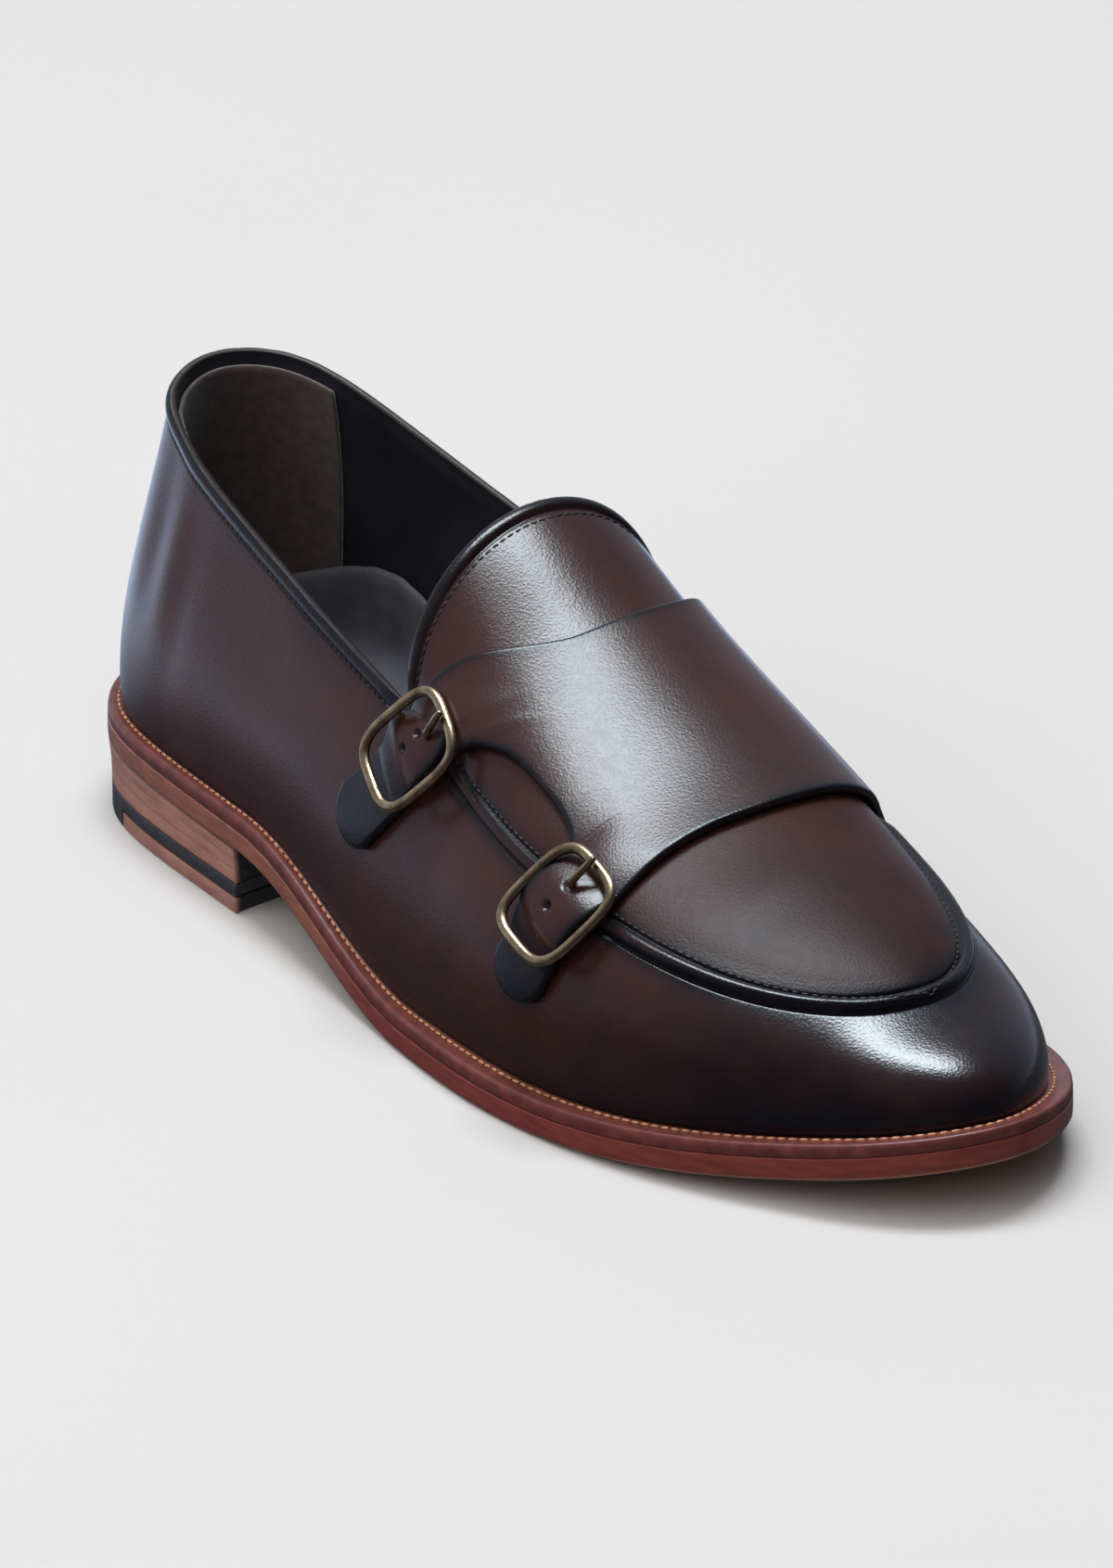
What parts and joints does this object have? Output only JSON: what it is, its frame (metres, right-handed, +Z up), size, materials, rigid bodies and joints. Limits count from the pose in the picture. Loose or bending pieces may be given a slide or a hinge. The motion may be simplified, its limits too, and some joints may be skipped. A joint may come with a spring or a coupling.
{
  "type": "loafer",
  "caption": "Leather loafer with a double monk strap over the instep, corded apron seam, stitched welt, leather sole and low stacked heel.",
  "frame": {"origin": "middle of the shoe's footprint, on the plane that the heel and the forefoot stand on", "axes": "+X from heel to toe, +Y to the inner (medial) side of the right foot, +Z up; the buckles are on the -Y side"},
  "size_m": [0.3, 0.104, 0.0984],
  "materials": {
    "upper_leather": "burnished",
    "strap_leather": "burnished",
    "welt_leather": "satin",
    "sole_leather": "satin",
    "heel_leather": "satin",
    "heel_rubber": "matte",
    "insole_sock": "matte",
    "antique_brass": "antique"
  },
  "bodies": {
    "root": {"outsole": "sole_leather", "welt": "welt_leather", "insole": "insole_sock", "heel_stack": "heel_leather", "heel_rubber": "heel_rubber", "heel_tip": "heel_leather", "upper": "upper_leather", "strap": "strap_leather", "buckle_rear": "antique_brass", "buckle_front": "antique_brass", "prong_rear": "antique_brass", "prong_front": "antique_brass"}
  },
  "joints": []
}
